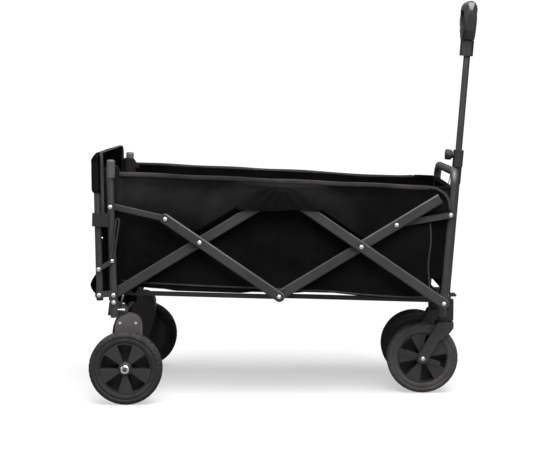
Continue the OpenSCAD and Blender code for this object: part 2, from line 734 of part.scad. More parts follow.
// Cloth cover pulled over the top of the tailgate's tube, open along its lower edge
module cover_block(t) {
  hull() both_sides() {
    translate([t - 13.5, 0, gate_h - 94 - t]) cube([28 - 2 * t, 255 - t, 4]);
    for (x = [-6, 7]) translate([x, 244, gate_h + 2]) sphere(r = 11 - t, $fn = 24);
  }
}
module tailgate_cover() {
  on_gate(cloth) difference() {
    cover_block(0);
    cover_block(cover_t);
  }
}

// ---- tub ----
function rim_at(x) = rim_z - x * tan(rim_fall);
module bag_sides() {
  on_frame(cloth) both_sides() {
    plate([wall_y - cloth_t, wall_y]) polygon([[rear_wall_x, floor_z + 4], [-355, floor_z - 6],
      [-80, floor_z - 7], [60, floor_z - 12.5], [front_wall_x, floor_z - 14],
      [front_wall_x, rim_at(front_wall_x)], [rear_wall_x, rim_at(rear_wall_x)]]);
    plate([wall_y - 1, rim_y]) polygon([[rear_wall_x, rim_at(rear_wall_x) - lip_h],
      [front_wall_x, rim_at(front_wall_x) - lip_h], [front_wall_x, rim_at(front_wall_x)],
      [rear_wall_x, rim_at(rear_wall_x)]]);
  }
}
module bag_floor() {
  inner = wall_y - cloth_t - 0.5;
  on_frame(cloth) plate([-inner, inner]) polygon([[rear_wall_x, floor_z + 6], [front_wall_x, floor_z],
    [front_wall_x, floor_z + 6], [rear_wall_x, floor_z + 12]]);
}
module bag_front_wall() {
  top = rim_at(front_wall_x) - 4;
  on_frame(cloth) plate([-end_wall_half, end_wall_half]) polygon([[end_wall_x, floor_z + 2],
    [end_wall_x + cloth_t, floor_z + 2], [end_wall_top_x + cloth_t, top], [end_wall_top_x, top]]);
}

rear_post_left();
rear_post_right();
rear_post_caps();
rear_crossbar();
rear_wheel_bracket_left();
rear_wheel_bracket_right();
rear_axles();
rear_axle_nuts();
tailgate_hinge_plates();
rear_rivets();
bag_sides();
bag_floor();
rear_tyre_left();
rear_tyre_right();
rear_hub_left();
rear_hub_right();
front_u_frame();
front_crossbar();
kingpin_housings();
handle_bracket();
front_rivets();
bag_front_wall();
caster_fork_left();
caster_fork_right();
caster_axle_left();
caster_axle_right();
front_tyre_left();
front_tyre_right();
front_hub_left();
front_hub_right();
handle_outer_tube();
clamp_sleeve();
clamp_knob();
handle_inner_tube();
handle_collar();
handle_grip();
bar_a_left();
bar_a_right();
bar_b_left();
bar_b_right();
bar_c_left();
bar_c_right();
bar_d_left();
bar_d_right();
bar_a_pins();
bar_b_pins();
bar_c_pins();
link_rear_left();
link_rear_right();
link_front_left();
link_front_right();
rails_rear();
rails_front();
tailgate_tube();
tailgate_clips();
tailgate_stays();
tailgate_rivets();
tailgate_panel();
tailgate_cover();
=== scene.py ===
"""Looks of the folding wagon: fabric tub, tailgate, treaded wheels and finishes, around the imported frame."""
import json
import math

import bmesh
import bpy
import numpy as np
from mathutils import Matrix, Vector, noise


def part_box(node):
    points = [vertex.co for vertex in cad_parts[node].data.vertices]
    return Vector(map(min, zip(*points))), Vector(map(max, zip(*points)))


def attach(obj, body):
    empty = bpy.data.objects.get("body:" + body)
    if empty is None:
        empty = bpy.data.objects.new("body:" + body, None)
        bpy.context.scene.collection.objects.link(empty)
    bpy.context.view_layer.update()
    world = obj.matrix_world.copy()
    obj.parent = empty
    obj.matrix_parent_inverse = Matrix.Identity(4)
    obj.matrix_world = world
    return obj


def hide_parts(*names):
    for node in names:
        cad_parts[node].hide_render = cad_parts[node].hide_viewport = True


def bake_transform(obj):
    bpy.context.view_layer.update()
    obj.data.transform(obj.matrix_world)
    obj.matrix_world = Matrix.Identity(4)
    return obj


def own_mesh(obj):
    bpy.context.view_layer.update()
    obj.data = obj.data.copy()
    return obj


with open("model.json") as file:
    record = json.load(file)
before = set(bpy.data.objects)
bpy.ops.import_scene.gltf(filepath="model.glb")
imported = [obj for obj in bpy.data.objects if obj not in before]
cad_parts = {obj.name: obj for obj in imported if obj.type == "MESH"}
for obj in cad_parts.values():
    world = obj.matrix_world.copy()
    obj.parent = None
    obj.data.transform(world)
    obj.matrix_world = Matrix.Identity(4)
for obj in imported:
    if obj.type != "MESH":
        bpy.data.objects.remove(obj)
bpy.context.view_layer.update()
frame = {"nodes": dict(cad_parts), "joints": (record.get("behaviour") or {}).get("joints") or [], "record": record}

NODES = frame["nodes"]
JOINT = {j["name"]: Vector(j["pos_m"]) for j in frame["joints"] if "pos_m" in j}
UP = Vector((0, 0, 1))
SIDE = Vector((0, 1, 0))
BOTH_SIDES = ((1, "left"), (-1, "right"))

# The frame's own level: its X runs through the two lower corner pivots, pitched a little nose-down
CORNER_Z = 0.285
MIDDLE = (JOINT["front_corner"] + JOINT["fold"]) / 2
ALONG = (JOINT["front_corner"] - JOINT["fold"]).normalized()
RISE = Vector((-ALONG.z, 0, ALONG.x))


def at(x, y, z):
    """A point given in the frame's level: x from the scissor's centre, z above the frame's own base."""
    return MIDDLE + ALONG * x + RISE * (z - CORNER_Z) + SIDE * y


# ---------------------------------------------------------------- camera
CAMERA_LENS = 89.86
CAMERA_BACK, CAMERA_HEIGHT = 3.948, 0.844
CAMERA_DIP, CAMERA_TURN = 5.744, 0.1065


def make_camera():
    """A long lens from the wagon's right side, looking slightly down."""
    data = bpy.data.cameras.new("camera")
    data.sensor_width = 36
    data.lens = CAMERA_LENS
    data.clip_end = 50
    cam = bpy.data.objects.new("camera", data)
    bpy.context.scene.collection.objects.link(cam)
    cam.location = (MIDDLE.x - 0.004, -CAMERA_BACK, CAMERA_HEIGHT)
    cam.rotation_euler = (math.radians(90 - CAMERA_DIP), 0, math.radians(CAMERA_TURN))
    bpy.context.scene.camera = cam


make_camera()


# ---------------------------------------------------------------- materials
class Nodes:
    """A short way to write a node tree."""

    def __init__(self, name):
        self.material = bpy.data.materials.new(name)
        self.material.use_nodes = True
        self.tree = self.material.node_tree
        self.shader = self.tree.nodes["Principled BSDF"]
        self.place = self.add("ShaderNodeTexCoord").outputs["Object"]

    def add(self, kind, **values):
        node = self.tree.nodes.new(kind)
        for key, value in values.items():
            if hasattr(node, key):
                setattr(node, key, value)
            else:
                self.put(node.inputs[key.replace("_", " ")], value)
        return node

    def put(self, socket, value):
        if isinstance(value, bpy.types.NodeSocket):
            self.tree.links.new(value, socket)
        else:
            socket.default_value = value

    def set(self, **values):
        for key, value in values.items():
            self.put(self.shader.inputs[key.replace("_", " ")], value)

    def noise(self, scale, detail=3.0, rough=0.5, place=None):
        return self.add("ShaderNodeTexNoise", Vector=place or self.place, Scale=scale, Detail=detail,
                        Roughness=rough).outputs["Fac"]

    def ramp(self, fac, low, high, at_low=0.35, at_high=0.65):
        node = self.add("ShaderNodeMapRange", Value=fac)
        for key, value in (("From Min", at_low), ("From Max", at_high), ("To Min", low), ("To Max", high)):
            node.inputs[key].default_value = value
        return node.outputs["Result"]

    def tint(self, fac, low, high):
        node = self.add("ShaderNodeMix", data_type="RGBA")
        node.clamp_factor = False
        self.put(node.inputs[0], fac)
        self.put(node.inputs[6], (*low, 1))
        self.put(node.inputs[7], (*high, 1))
        return node.outputs[2]

    def math(self, operation, a, b=0.0):
        node = self.add("ShaderNodeMath", operation=operation)
        self.put(node.inputs[0], a)
        self.put(node.inputs[1], b)
        return node.outputs[0]

    def bump(self, height, strength, distance, normal=None):
        node = self.add("ShaderNodeBump", Height=height, Strength=strength, Distance=distance)
        if normal is not None:
            self.put(node.inputs["Normal"], normal)
        return node.outputs["Normal"]


def powder_coat(name, low, high):
    n = Nodes(name)
    n.set(Base_Color=n.tint(n.ramp(n.noise(9, 4), 0, 1), low, high),
          Roughness=n.ramp(n.noise(60, 5), 0.34, 0.48), Specular_IOR_Level=0.5,
          Normal=n.bump(n.noise(1400, 2), 0.25, 0.0004))
    return n.material


def moulded(name, low, high, rough, grain=900.0, strength=0.2):
    n = Nodes(name)
    n.set(Base_Color=n.tint(n.ramp(n.noise(14, 4), 0, 1), low, high),
          Roughness=n.ramp(n.noise(45, 4), rough - 0.06, rough + 0.06),
          Normal=n.bump(n.noise(grain, 2), strength, 0.0003))
    return n.material


def gloss_grip():
    n = Nodes("grip_gloss")
    n.set(Base_Color=n.tint(n.ramp(n.noise(20), 0, 1), (0.018, 0.018, 0.019), (0.026, 0.026, 0.028)),
          Roughness=n.ramp(n.noise(30, 4), 0.26, 0.34), Coat_Weight=0.2, Coat_Roughness=0.25,
          Normal=n.bump(n.noise(260, 2), 0.05, 0.0003))
    return n.material


def tyre_rubber(name, low, high):
    n = Nodes(name)
    dust = n.ramp(n.noise(22, 6, 0.65), 0, 1, 0.42, 0.70)
    n.set(Base_Color=n.tint(dust, low, high), Roughness=n.ramp(n.noise(70, 4), 0.66, 0.84),
          Specular_IOR_Level=0.35, Normal=n.bump(n.noise(800, 3), 0.3, 0.0005))
    return n.material


def woven(name, low, high, pitch, rough=0.9, sheen=0.0, strength=0.35, top_painted_light=0.0, shine=0.04):
    """Plain weave: two crossed sets of threads. The cloth can carry painted light: lighter high up and towards the
    rear, by the given amount.
    """
    n = Nodes(name)
    threads = [n.add("ShaderNodeTexWave", Vector=n.place, bands_direction=d, Scale=math.pi / 10 / pitch,
                     Distortion=0.4, Detail=1.0).outputs["Fac"] for d in "XZ"]
    across = n.add("ShaderNodeTexWave", Vector=n.place, bands_direction="Y",
                   Scale=math.pi / 10 / pitch).outputs["Fac"]
    weave = n.math("MULTIPLY", n.math("MAXIMUM", threads[0], threads[1]), n.ramp(across, 0.75, 1, 0, 1))
    shade = n.math("MULTIPLY", n.ramp(n.noise(7, 5, 0.6), 0, 1), n.ramp(weave, 0.7, 1, 0, 1))
    # Painted light: the cloth is lighter high up and towards the rear, where the light falls on it.
    if top_painted_light:
        xyz = n.add("ShaderNodeSeparateXYZ", Vector=n.place).outputs
        high_up, rearward = n.ramp(xyz["Z"], 0, top_painted_light, 0.49, 0.56), n.ramp(xyz["X"], 1, 0.12, -0.38, -0.06)
        painted_light_area = n.math("MULTIPLY", high_up, rearward)
        shade = n.math("ADD", shade, n.math("MULTIPLY", painted_light_area, n.ramp(n.noise(11, 4, 0.7), 0.55, 1.2)))
    n.set(Base_Color=n.tint(shade, low, high), Roughness=rough, Sheen_Weight=sheen, Sheen_Roughness=0.45,
          Specular_IOR_Level=shine, Normal=n.bump(weave, strength, 0.0004))
    return n.material


def open_mesh():
    """Black netting: round holes on a fine grid."""
    n = Nodes("pocket_mesh")
    cells = n.add("ShaderNodeTexVoronoi", Vector=n.place, Scale=260.0, Randomness=0.15).outputs["Distance"]
    n.set(Base_Color=(0.0025, 0.0025, 0.0025, 1), Roughness=0.9, Specular_IOR_Level=0.05,
          Alpha=n.ramp(cells, 0.93, 1, 0.30, 0.42))
    return n.material


def bright_steel(name, tone, rough):
    n = Nodes(name)
    n.set(Base_Color=n.tint(n.noise(80, 3), tone, tuple(0.9 * t for t in tone)), Metallic=1.0,
          Roughness=n.ramp(n.noise(160, 4), rough, rough + 0.12),
          Normal=n.bump(n.noise(500, 2), 0.08, 0.0002))
    return n.material


PAINT = powder_coat("powder_coat", (0.024, 0.023, 0.025), (0.034, 0.0325, 0.035))
PAINT_LIGHT = powder_coat("powder_coat_light", (0.070, 0.064, 0.067), (0.088, 0.081, 0.084))
# A darker copy of the frame paint: painted shade for the bottom rails under the tub.
PAINT_SHADED = powder_coat("powder_coat_painted_shade", (0.008, 0.0075, 0.0078), (0.013, 0.012, 0.0125))
PLASTIC = moulded("black_plastic", (0.0045, 0.0045, 0.0048), (0.0080, 0.0080, 0.0086), 0.58)
CAP_PLASTIC = moulded("cap_plastic", (0.060, 0.056, 0.059), (0.076, 0.072, 0.075), 0.5)
HUB = moulded("hub_plastic", (0.0165, 0.0150, 0.0148), (0.0240, 0.0220, 0.0218), 0.55, 600, 0.25)
GRIP = gloss_grip()
TYRE = tyre_rubber("tyre_rubber", (0.0155, 0.0140, 0.0142), (0.026, 0.0235, 0.0235))
# A lighter rubber, used for the front tyres; the rear tyres keep the darker one.
TYRE_LIGHTER = tyre_rubber("tyre_rubber_lighter", (0.042, 0.040, 0.039), (0.064, 0.060, 0.058))
# The tub cloth carries painted light high up and towards the rear.
CLOTH = woven("tub_polyester", (0.0024, 0.0024, 0.0025), (0.0062, 0.0062, 0.0064), 0.0011, top_painted_light=2.7)
# Near-black cloth: painted shade for the inner faces of the tub and tailgate, and for the sill.
SHADE_CLOTH = woven("inner_painted_shade", (0.0012, 0.0012, 0.0011), (0.0028, 0.0027, 0.0026), 0.0011, 1.0, shine=0.0)
CLOTH_GREY = woven("cover_polyester", (0.0034, 0.0032, 0.0032), (0.0076, 0.0073, 0.0073), 0.0011)
BINDING = woven("binding_tape", (0.022, 0.020, 0.020), (0.050, 0.046, 0.045), 0.0008, 0.75, 0.05, 0.5)
NETTING = open_mesh()
ZINC = bright_steel("bright_zinc", (0.88, 0.88, 0.90), 0.32)
CHROME = bright_steel("chrome", (0.80, 0.80, 0.82), 0.18)
DARK_STEEL = bright_steel("dark_steel", (0.16, 0.16, 0.17), 0.30)
STRAP = woven("strap_webbing", (0.010, 0.010, 0.010), (0.020, 0.020, 0.020), 0.0009)

FINISH = {"frame_paint": PAINT, "black_plastic": PLASTIC, "hub_plastic": HUB, "grip": GRIP, "tyre": TYRE,
          "fabric": CLOTH, "binding": BINDING, "mesh": NETTING, "rivet_steel": ZINC, "chrome": CHROME}


# The rails take the darker paint as painted shade; the other entries are the parts' own finishes.
OWN_FINISH_OR_SHADE = {"rear_post_caps": CAP_PLASTIC, "rear_axles": DARK_STEEL, "rails_rear": PAINT_SHADED,
              "rails_front": PAINT_SHADED, "rear_wheel_bracket_right": PAINT_LIGHT}


def finish_cad_nodes():
    """Gives each CAD node the finish of its material slot, or its own finish or painted shade."""
    slots = {s["node"]: s["material_slot"] for s in frame["record"]["subparts"]}
    for name, obj in NODES.items():
        obj.data.materials.clear()
        obj.data.materials.append(OWN_FINISH_OR_SHADE.get(name, FINISH[slots[name]]))


finish_cad_nodes()


# ---------------------------------------------------------------- mesh tools
def piece(name, verts, faces, material, body, slot, smooth=True):
    """A new mesh object that rides on a body."""
    mesh = bpy.data.meshes.new(name)
    mesh.from_pydata([tuple(v) for v in verts], [], faces)
    mesh.validate()
    obj = bpy.data.objects.new(name, mesh)
    bpy.context.scene.collection.objects.link(obj)
    mesh.materials.append(material)
    for polygon in mesh.polygons:
        polygon.use_smooth = smooth
    if body:
        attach(obj, body)
    return obj


def apply_modifiers(obj):
    """Replaces the mesh by what its modifiers make of it."""
    bpy.context.view_layer.update()
    made = bpy.data.meshes.new_from_object(obj.evaluated_get(bpy.context.evaluated_depsgraph_get()))
    obj.modifiers.clear()
    obj.data = made
    return obj


def modifier(obj, kind, **values):
    m = obj.modifiers.new(kind.lower(), kind)
    for key, value in values.items():
        setattr(m, key, value)
    return m


def thick(obj, depth):
    modifier(obj, "SOLIDIFY", thickness=depth, offset=0)
    return apply_modifiers(obj)


def grid(shape, nu, nv):
    """Vertices and quads of a surface shape(u, v), u and v from 0 to 1."""
    verts = [shape(i / nu, j / nv) for i in range(nu + 1) for j in range(nv + 1)]
    row = nv + 1
    faces = [(i * row + j, (i + 1) * row + j, (i + 1) * row + j + 1, i * row + j + 1)
             for i in range(nu) for j in range(nv)]
    return verts, faces


def revolve(profile, steps, place, reshape=None):
    """Turns a closed profile of (radius, offset) about the Y axis through place."""
    verts, n = [], len(profile)
    for i in range(steps):
        a = 2 * math.pi * i / steps
        for k, (r, y) in enumerate(profile):
            if reshape:
                r = reshape(a, r, y)
            verts.append(place + Vector((r * math.cos(a), y, r * math.sin(a))))
    faces = [(i * n + k, i * n + (k + 1) % n, (i + 1) % steps * n + (k + 1) % n, (i + 1) % steps * n + k)
             for i in range(steps) for k in range(n)]
    return verts, faces


def smooth_path(points, steps=8):
    """Catmull-Rom curve through the points."""
    p = [Vector(q) for q in points]
    p = [2 * p[0] - p[1], *p, 2 * p[-1] - p[-2]]
    out = []
    for a, b, c, d in zip(p, p[1:], p[2:], p[3:]):
        for k in range(steps):
            t = k / steps
            out.append(0.5 * (2 * b + (c - a) * t + (2 * a - 5 * b + 4 * c - d) * t * t
                              + (3 * b - a - 3 * c + d) * t ** 3))
    out.append(p[-2])
    return out


def sweep(path, section, normals=None, closed=False):
    """Verts and faces of a section of (side, out) offsets swept along a path; normals point out."""
    n, m = len(path), len(section)
    verts = []
    for i, p in enumerate(path):
        ahead = path[(i + 1) % n] if closed or i + 1 < n else p
        behind = path[i - 1] if closed or i else p
        tangent = (ahead - behind).normalized()
        out = normals[i] if normals else (SIDE if abs(tangent.y) < 0.9 else UP)
        out = (out - tangent * out.dot(tangent)).normalized()
        side = tangent.cross(out)
        verts += [p + side * a + out * b for a, b in section]
    last = n if closed else n - 1
    faces = [(i * m + k, i * m + (k + 1) % m, (i + 1) % n * m + (k + 1) % m, (i + 1) % n * m + k)
             for i in range(last) for k in range(m)]
    if not closed:
        faces += [tuple(range(m))[::-1], tuple((n - 1) * m + k for k in range(m))]
    return verts, faces


def ring_section(r, sides=10):
    angles = [2 * math.pi * k / sides for k in range(sides)]
    return [(r * math.cos(a), r * math.sin(a)) for a in angles]


def tape_section(width, depth):
    """Flat woven tape with soft edges."""
    w, d = width / 2, depth / 2
    return [(-w, -d * 0.4), (-w + d, -d), (w - d, -d), (w, -d * 0.4),
            (w, d * 0.4), (w - d, d), (-w + d, d), (-w, d * 0.4)]


def ease(t):
    t = min(1.0, max(0.0, t))
    return t * t * (3 - 2 * t)


def mix(a, b, t):
    return a + (b - a) * t


# ---------------------------------------------------------------- wheels
LUGS = 40
TREAD_DEPTH, CUT_DEPTH = 0.0030, 0.0010
CROWN_FROM = 0.0905


def tread(a, r, y):
    """Staggered chevron blocks on the crown, each with a shallow cut, and notches in the shoulders."""
    if r < CROWN_FROM:
        return r
    outer = abs(y) > 0.0066
    phase = (a * LUGS / (2 * math.pi) + (0.5 if outer else 0) + 0.9 * abs(y) / 0.021) % 1.0
    gap = phase > 0.70 or 0.0058 < abs(y) < 0.0074
    depth = TREAD_DEPTH if gap else CUT_DEPTH if 0.30 < phase < 0.40 else 0.0
    return r - depth * ease((r - CROWN_FROM) / 0.004)


def tyre_profile():
    outer = [(0.0701, 0.0160), (0.0712, 0.0180), (0.0740, 0.0194), (0.0785, 0.0202), (0.0830, 0.0206),
             (0.0836, 0.0198), (0.0848, 0.0198), (0.0854, 0.0207), (0.0890, 0.0210), (0.0905, 0.0210),
             (0.0935, 0.0205), (0.0962, 0.0192), (0.0985, 0.0168), (0.0996, 0.0130), (0.1000, 0.0090),
             (0.1000, 0.0075), (0.1000, 0.0073), (0.1000, 0.0059), (0.1000, 0.0057), (0.1000, 0.0)]
    return outer + [(r, -y) for r, y in reversed(outer[:-1])]


def refined(node, name, body, material, edge):
    """The node's own shape with its edges softened."""
    mesh = NODES[node].data.copy()
    mesh.name = name
    obj = bpy.data.objects.new(name, mesh)
    bpy.context.scene.collection.objects.link(obj)
    obj.matrix_world = NODES[node].matrix_world.copy()
    bm = bmesh.new()
    bm.from_mesh(mesh)
    bmesh.ops.remove_doubles(bm, verts=bm.verts, dist=1e-5)
    bmesh.ops.dissolve_limit(bm, angle_limit=math.radians(0.6), verts=bm.verts, edges=bm.edges)
    bm.to_mesh(mesh)
    bm.free()
    mesh.materials.clear()
    mesh.materials.append(material)
    modifier(obj, "BEVEL", width=edge, segments=2, limit_method="ANGLE", angle_limit=math.radians(32),
             use_clamp_overlap=True)
    apply_modifiers(obj)
    for polygon in obj.data.polygons:
        polygon.use_smooth = True
    modifier(obj, "WEIGHTED_NORMAL", keep_sharp=False, weight=90)
    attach(obj, body)
    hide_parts(node)
    return obj


def soften_bars():
    """The scissor's bars and links with the rolled edges of drawn flat bar."""
    for body, nodes in frame["record"]["behaviour"]["bodies"].items():
        for name in nodes:
            if name.startswith(("bar_", "link_")) and not name.endswith("_pins"):
                refined(name, name + "_rolled", body, PAINT, 0.0016)


def wheel(where, side):
    """Treaded tyre and soft-edged hub that stand for the plain CAD ones."""
    low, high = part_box(f"{where}_tyre_{side}")
    centre = (low + high) / 2
    body = f"{where}_wheel_{side}"
    tyre = piece(f"tyre_{where}_{side}", *revolve(tyre_profile(), LUGS * 10, centre, tread),
                 TYRE if where == "rear" else TYRE_LIGHTER, body, "tyre", False)
    for polygon in tyre.data.polygons:
        polygon.use_smooth = (polygon.center - centre).xz.length < CROWN_FROM + 0.001
    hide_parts(f"{where}_tyre_{side}")
    refined(f"{where}_hub_{side}", f"hub_{where}_{side}", body, HUB, 0.0007)


for _, side in BOTH_SIDES:
    wheel("rear", side)
    wheel("front", side)
soften_bars()

# ---------------------------------------------------------------- fabric: sizes in the frame's level
REAR_X, FRONT_X = -0.443, 0.412
FLOOR_Z, FLOOR_FALL = 0.309, 0.0069
WALL_Y, RIM_Y, LEG_Y = 0.2082, 0.2152, 0.2055
PIPING_Y = WALL_Y + 0.0022
CLOTH_T = 0.0016
CORNER_X, CROSS_X, CROSS_Z = 0.450, 0.220, 0.434
BAR_TAN = (CROSS_Z - CORNER_Z) / (CORNER_X - CROSS_X)
BAR_COS = 1 / math.hypot(1, BAR_TAN)
TOP_PIVOT_Z = CROSS_Z + CROSS_X * BAR_TAN


def rim_z(x, s):
    """Height of the rim: the right side hangs a little lower, the left one sags towards the front."""
    if s < 0:
        return 0.6052 - 0.0171 * x
    return 0.6085 - 0.020 * x - 0.0045 * math.exp(-((x - 0.25) / 0.08) ** 2) + 0.004 * ease((x - 0.36) / 0.08)


def floor_z(x):
    return FLOOR_Z - FLOOR_FALL * x


FOOT_LINE = ((REAR_X, 0.310), (-0.355, 0.3005), (-0.315, 0.2990), (-0.285, 0.2945), (-0.105, 0.2935),
             (-0.075, 0.2975), (0.04, 0.2975), (0.07, 0.3010), (0.15, 0.3010), (0.20, 0.2970), (0.26, 0.2920),
             (0.36, 0.2900), (FRONT_X, 0.2975))


def wall_foot(x):
    """Lower edge of the side wall, which hangs over the floor's edge in places."""
    return float(np.interp(x, *zip(*FOOT_LINE)))


def fold_up(obj):
    """Gives the piece its own copy of its mesh."""
    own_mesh(obj)
    return obj


def paint_inner_shade(obj, outward):
    """Gives the faces that look away from outward a near-black copy of the cloth as painted shade."""
    obj.data.materials.append(SHADE_CLOTH)
    for polygon in obj.data.polygons:
        if polygon.normal.dot(outward) < -0.2:
            polygon.material_index = 1


def cloth(name, shape, nu, nv, body, depth=CLOTH_T, outward=None,
          material=CLOTH):
    """A woven sheet over shape(u, v), with painted shade on the side that looks away from outward."""
    obj = piece(name, *grid(shape, nu, nv), material, body, "fabric")
    thick(obj, depth)
    if outward:
        paint_inner_shade(obj, outward)
    return obj


def tape(name, path, body, width=0.0125, depth=0.0042, facing=None, steps=6, material=BINDING):
    """Folded binding tape along a path; facing(p) is the way its face looks at p."""
    line = smooth_path(path, steps)
    normals = [facing(p) for p in line]
    obj = piece(name, *sweep(line, tape_section(width, depth), normals), material, body, "binding")
    modifier(obj, "SUBSURF", levels=1, render_levels=1)
    return apply_modifiers(obj)


def piping(name, path, body, r=0.0026, steps=6):
    """Round piping sewn into a seam."""
    return piece(name, *sweep(smooth_path(path, steps), ring_section(r)), BINDING, body, "binding")


def wall_out(x, z, s):
    """Distance of the side wall from the middle plane: straight below, flared to the rim above."""
    return mix(WALL_Y, RIM_Y - 0.001, ease((z - (rim_z(x, s) - 0.034)) / 0.034))


def rumple(x, z, seed):
    """Soft shallow folds of slack cloth."""
    p = Vector((x * 8.0 + 0.8 * z, seed, z * 11.0 - 2.4 * x))
    q = Vector((x * 17.0 + 6 * z, seed + 5, z * 13.0 - 8 * x))
    return 0.0022 * noise.noise(p) + 0.0010 * noise.noise(q)


def pull(x, z, centre_x, centre_z, reach):
    """Creases that fan out from a point where the cloth is drawn tight."""
    dx, dz = x - centre_x, z - centre_z
    d = math.hypot(dx, dz)
    fan = math.sin(13 * math.atan2(dz, dx) + 2.0 * noise.noise(Vector((dx * 6, 3.1, dz * 6))))
    return 0.0013 * fan * math.exp(-(d / reach) ** 2) * ease(d / 0.03)


def wall_skin(x, z, s):
    """Where the side wall really lies, with its slack and creases."""
    u, v = (x - REAR_X) / (FRONT_X - REAR_X), (z - wall_foot(x)) / (rim_z(x, s) - wall_foot(x))
    free = min(1, 12 * max(0, min(u, 1 - u))) ** 0.5 * max(0, math.sin(math.pi * v)) ** 0.6
    slack = rumple(x, z, s * 3) + pull(x, z, 0, 0.6, 0.28) + pull(x, z, -0.43, 0.36, 0.12)
    return wall_out(x, z, s) + free * max(-0.0012, min(0.0014, slack))


def side_wall(s, side):
    """Side of the tub, held at the rim, the floor and both ends."""
    def shape(u, v):
        x = mix(REAR_X, FRONT_X, u)
        z = mix(wall_foot(x), rim_z(x, s), v)
        return at(x, s * wall_skin(x, z, s), z)
    obj = cloth("wall_" + side, shape, 150, 56, "rear_frame",
                outward=SIDE * s)
    return fold_up(obj)


walls = {s: side_wall(s, side) for s, side in BOTH_SIDES}
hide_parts("bag_sides")


def tub_floor():
    """Floor panel, sagging a little between the rails."""
    def shape(u, v):
        x, y = mix(REAR_X, FRONT_X + 0.024, u), mix(-WALL_Y, WALL_Y, v)
        dip = math.sin(math.pi * min(1, max(0, (v - 0.08) / 0.84))) * math.sin(math.pi * u) ** 0.4
        return at(x, y, floor_z(x) + 0.002 - 0.006 * dip + 0.0015 * noise.noise(Vector((x * 8, y * 8, 0))))
    obj = cloth("tub_floor", shape, 80, 44, "rear_frame",
                depth=0.003)
    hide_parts("bag_floor")
    return fold_up(obj)


tub_floor()


def front_top(y):
    return mix(rim_z(0.45, -1), rim_z(0.45, 1), (y + 0.2) / 0.4) + 0.0045


def front_wall():
    """Front panel between the U frame's legs, turned round them at its sides."""
    def shape(u, v):
        a = 2 * u - 1
        y = 0.1985 * math.copysign(abs(a) ** 0.96, a)
        z = mix(0.306, front_top(y), v)
        lean = 0.0489 * (z - 0.525)
        belly = max(0, 1 - a * a) ** 0.2
        slack = 0.003 * math.sin(math.pi * v) * noise.noise(Vector((y * 9, 2.2, z * 9)))
        return at(0.4530 + lean + belly * (0.010 + 0.006 * (1 - v) ** 2 + slack), y, z)

    obj = cloth("front_wall", shape, 60, 44, "front_frame",
                outward=ALONG)
    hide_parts("bag_front_wall")
    top = [at(0.4570, y, front_top(y) - 0.004) for y in (-0.198, -0.12, 0.0, 0.12, 0.198)]
    tape("front_wall_binding", top, "front_frame", 0.011, 0.004, facing=lambda p: ALONG, material=CLOTH)


front_wall()


def corner_gusset(s, side):
    """Cloth that turns from the side wall round the front leg, with netting below it."""
    def post_x(z):
        return 0.4565 + 0.0489 * (z - 0.525)

    def upper(u, v):
        bottom = 0.500 + 0.004 * math.sin(9 * u)
        z = mix(bottom, rim_z(mix(FRONT_X, 0.457, u), s) + 0.0045 * ease(3 * u), v)
        x = mix(FRONT_X - 0.001, post_x(z) + 0.001, u)
        hollow = 0.004 * math.sin(math.pi * u) * (0.6 + 0.4 * math.sin(14 * v))
        return at(x, s * (mix(wall_out(FRONT_X, z, s), LEG_Y, ease(u)) - hollow), z)

    def net(u, v):
        z = mix(0.352 - 0.006 * math.sin(math.pi * u), 0.502, v)
        x = mix(FRONT_X - 0.004, post_x(z) + 0.0015 * math.sin(90 * z), u)
        y = mix(WALL_Y, 0.2040, u) - 0.003 * math.sin(math.pi * u)
        return at(x, s * y, z)

    cloth("corner_gusset_" + side, upper, 12, 30, "front_frame",
          outward=SIDE * s)
    edge = [at(mix(FRONT_X - 0.012, 0.4585, t), s * mix(RIM_Y - 0.001, LEG_Y, ease(t)),
               rim_z(mix(FRONT_X, 0.457, t), s) + 0.0015) for t in np.linspace(0, 1, 6)]
    tape("corner_binding_" + side, edge, "front_frame", 0.008, 0.0034, facing=lambda p: SIDE * s,
         material=CLOTH)
    obj = piece("corner_net_" + side, *grid(net, 10, 40), NETTING, "front_frame", "mesh")


def wall_trims(s, side):
    """Rim tape with its end curled down the front leg, and piping along the wall's foot and front edge."""
    def outward(p):
        return SIDE * s

    rim = [at(x, s * (RIM_Y + 0.0005), rim_z(x, s) + 0.0008 * math.sin(31 * x))
           for x in np.linspace(REAR_X - 0.002, 0.400, 24)]
    fold_up(tape("rim_binding_" + side, rim, "rear_frame", facing=outward))
    drop = rim_z(0.398, s) - rim_z(0.398, -1)
    curl = [at(x, s * y, z + drop) for x, y, z in
            ((0.396, RIM_Y + 0.0006, 0.5984), (0.4149, RIM_Y, 0.5971), (0.4312, RIM_Y, 0.5908),
             (0.4447, 0.2150, 0.5817), (0.4542, 0.2144, 0.5671), (0.4583, 0.2140, 0.5536),
             (0.4596, 0.2136, 0.5400))]
    tape("rim_end_binding_" + side, curl, "front_frame", 0.0078, 0.0034, facing=outward)
    if side == "right":
        hanger = [at(x, s * y, z) for x, y, z in
                  ((0.4530, 0.1985, 0.5960), (0.4550, 0.1975, 0.6120), (0.4600, 0.1960, 0.6370))]
        tape("corner_strap", hanger, "front_frame", 0.0030, 0.0024, facing=lambda p: ALONG, material=STRAP)
    base = [at(x, s * PIPING_Y, z) for x, z in
            ((-0.440, 0.3200), (-0.400, 0.3165), (-0.328, 0.3135), (-0.200, 0.3105), (-0.080, 0.3090),
             (0.050, 0.3065), (0.130, 0.3055), (0.200, 0.3010), (0.260, 0.2975), (0.340, 0.2945),
             (0.385, 0.2955), (0.408, 0.3010))]
    fold_up(piping("floor_piping_" + side, base, "rear_frame"))
    up = [at(0.4085 + 0.008 * (0.5 - z) + 0.0025 * math.sin(45 * z), s * PIPING_Y, z)
          for z in np.linspace(0.312, 0.502, 9)]
    fold_up(piping("corner_piping_" + side, up, "rear_frame", 0.0024))


for s, side in BOTH_SIDES:
    corner_gusset(s, side)
    wall_trims(s, side)


